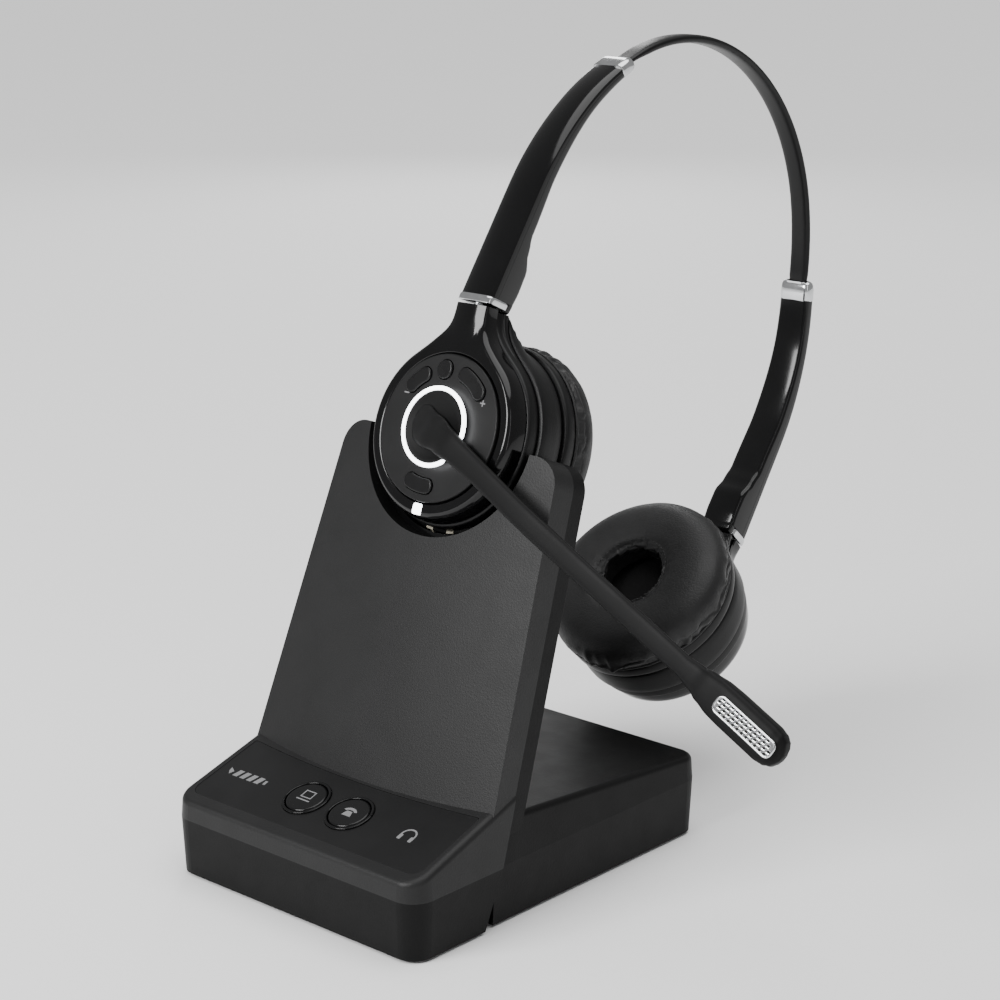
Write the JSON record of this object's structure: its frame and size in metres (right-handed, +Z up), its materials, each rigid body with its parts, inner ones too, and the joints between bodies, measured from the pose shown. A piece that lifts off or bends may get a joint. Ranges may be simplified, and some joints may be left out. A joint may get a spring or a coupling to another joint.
{
  "type": "office headset with charging base",
  "caption": "Wireless two-ear headset with a turning microphone boom, docked in a leaning charging base with a sloped control deck.",
  "frame": {"origin": "middle of the charging base's underside, on the desk", "axes": "+Z up, +Y to the back of the base, +X to the right seen from the control deck; the ear cup is docked and the headband leans back in the plane X = 0"},
  "size_m": [0.1854, 0.2468, 0.239],
  "materials": {
    "base_shell": "fine-textured black ABS",
    "panel_plastic": "smooth satin black overlay",
    "gloss_black": "polished black",
    "cup_shell": "fine-textured black",
    "cup_face": "satin black",
    "boom_plastic": "satin black soft-touch",
    "button_plastic": "polished black, printed symbol",
    "button_rubber": "satin silicone",
    "band_sleeve": "satin black over spring steel",
    "cushion_leather": "fine-grained black leatherette",
    "foot_rubber": "matte",
    "steel": "brushed",
    "chrome": "bright plated",
    "gold_contacts": "gold-plated",
    "circuit_board": "solder mask",
    "socket_plastic": "moulded",
    "battery_foil": "foil pouch",
    "driver_metal": "pressed",
    "deck_symbols": "light windows behind printed symbols",
    "light_white": "white light guide"
  },
  "bodies": {
    "charging_base": {"front_housing": "base_shell", "rear_housing": "base_shell", "base_tray": "base_shell", "rubber_feet": "foot_rubber", "base_screws": "steel", "ballast_plate": "steel", "base_circuit_board": "circuit_board", "radio_shield": "steel", "power_socket": "socket_plastic", "usb_socket": "steel", "phone_socket": "socket_plastic", "control_panel": "panel_plastic", "deck_lights": "deck_symbols", "button_bezels": "gloss_black", "deck_switches": "socket_plastic", "deck_circuit_board": "circuit_board", "cradle_liner": "gloss_black", "pin_carrier": "socket_plastic"},
    "charging_pins": {"charging_pins": "gold_contacts"},
    "computer_button": {"computer_button": "button_plastic"},
    "phone_button": {"phone_button": "button_plastic"},
    "mic_side_cup": {"mic_side_casing": "cup_shell", "mic_side_fascia": "gloss_black", "control_face": "cup_face", "dock_light": "light_white", "charging_pads": "gold_contacts", "headset_circuit_board": "circuit_board", "headset_battery": "battery_foil", "mic_side_driver": "driver_metal", "mic_side_baffle": "cup_shell", "mic_side_cushion": "cushion_leather"},
    "volume_down_button": {"volume_down_button": "button_rubber"},
    "volume_up_button": {"volume_up_button": "button_rubber"},
    "call_button": {"call_button": "button_rubber"},
    "mute_button": {"mute_button": "button_rubber"},
    "mic_boom": {"boom_hub": "boom_plastic", "boom_retainer": "steel", "boom_ring": "light_white", "boom_blade": "boom_plastic", "mic_housing": "boom_plastic", "mic_grille": "chrome", "mic_capsule": "driver_metal"},
    "mic_side_arm": {"mic_side_arm_outer": "gloss_black", "mic_side_arm_inner": "gloss_black", "mic_side_collar": "chrome", "mic_side_arm_cap": "chrome", "mic_side_swivel_pin": "steel"},
    "headband": {"headband_sleeve": "band_sleeve", "headband_spring": "steel"},
    "far_arm": {"far_arm_outer": "gloss_black", "far_arm_inner": "gloss_black", "far_collar": "chrome", "far_arm_cap": "chrome", "far_swivel_pin": "steel"},
    "far_cup": {"far_casing": "cup_shell", "far_fascia": "gloss_black", "far_face": "cup_face", "far_driver": "driver_metal", "far_baffle": "cup_shell", "far_cushion": "cushion_leather"}
  },
  "joints": [
    {"name": "headset_lift", "type": "slide", "parent": "charging_base", "child": "mic_side_cup", "axis": [0, 0.3584, 0.9336], "range_m": [0, 0.09]},
    {"name": "charging_pins_press", "type": "slide", "parent": "charging_base", "child": "charging_pins", "axis": [0, -0.3584, -0.9336], "range_m": [0, 0.0006], "stiffness_N_per_m": 250, "springref_m": -0.001},
    {"name": "computer_button_press", "type": "slide", "parent": "charging_base", "child": "computer_button", "axis": [0, 0.3123, -0.95], "range_m": [0, 0.0005], "stiffness_N_per_m": 600, "springref_m": -0.0004},
    {"name": "phone_button_press", "type": "slide", "parent": "charging_base", "child": "phone_button", "axis": [0, 0.3123, -0.95], "range_m": [0, 0.0005], "stiffness_N_per_m": 600, "springref_m": -0.0004},
    {"name": "volume_down_press", "type": "slide", "parent": "mic_side_cup", "child": "volume_down_button", "axis": [0, 0.9336, -0.3584], "range_m": [0, 0.0005], "stiffness_N_per_m": 600, "springref_m": -0.0004},
    {"name": "volume_up_press", "type": "slide", "parent": "mic_side_cup", "child": "volume_up_button", "axis": [0, 0.9336, -0.3584], "range_m": [0, 0.0005], "stiffness_N_per_m": 600, "springref_m": -0.0004},
    {"name": "call_press", "type": "slide", "parent": "mic_side_cup", "child": "call_button", "axis": [0, 0.9336, -0.3584], "range_m": [0, 0.0005], "stiffness_N_per_m": 600, "springref_m": -0.0004},
    {"name": "mute_press", "type": "slide", "parent": "mic_side_cup", "child": "mute_button", "axis": [0, 0.9336, -0.3584], "range_m": [0, 0.0005], "stiffness_N_per_m": 600, "springref_m": -0.0004},
    {"name": "boom_turn", "type": "hinge", "parent": "mic_side_cup", "child": "mic_boom", "pos_m": [0, 0.00555, 0.13023], "axis": [0, -0.9336, 0.3584], "range_deg": [-30, 250]},
    {"name": "mic_side_swivel", "type": "hinge", "parent": "mic_side_cup", "child": "mic_side_arm", "pos_m": [0, 0.01693, 0.1677], "axis": [0, 0.5678, 0.8231], "range_deg": [-15, 15]},
    {"name": "mic_side_extension", "type": "slide", "parent": "mic_side_arm", "child": "headband", "axis": [0, 0.8957, 0.4446], "range_m": [0, 0.014]},
    {"name": "far_extension", "type": "slide", "parent": "headband", "child": "far_arm", "axis": [0, -0.0976, -0.9952], "range_m": [-0.012, 0.002]},
    {"name": "far_swivel", "type": "hinge", "parent": "far_arm", "child": "far_cup", "pos_m": [0, 0.14055, 0.06967], "axis": [0, 0.5678, 0.8231], "range_deg": [-15, 15]}
  ]
}
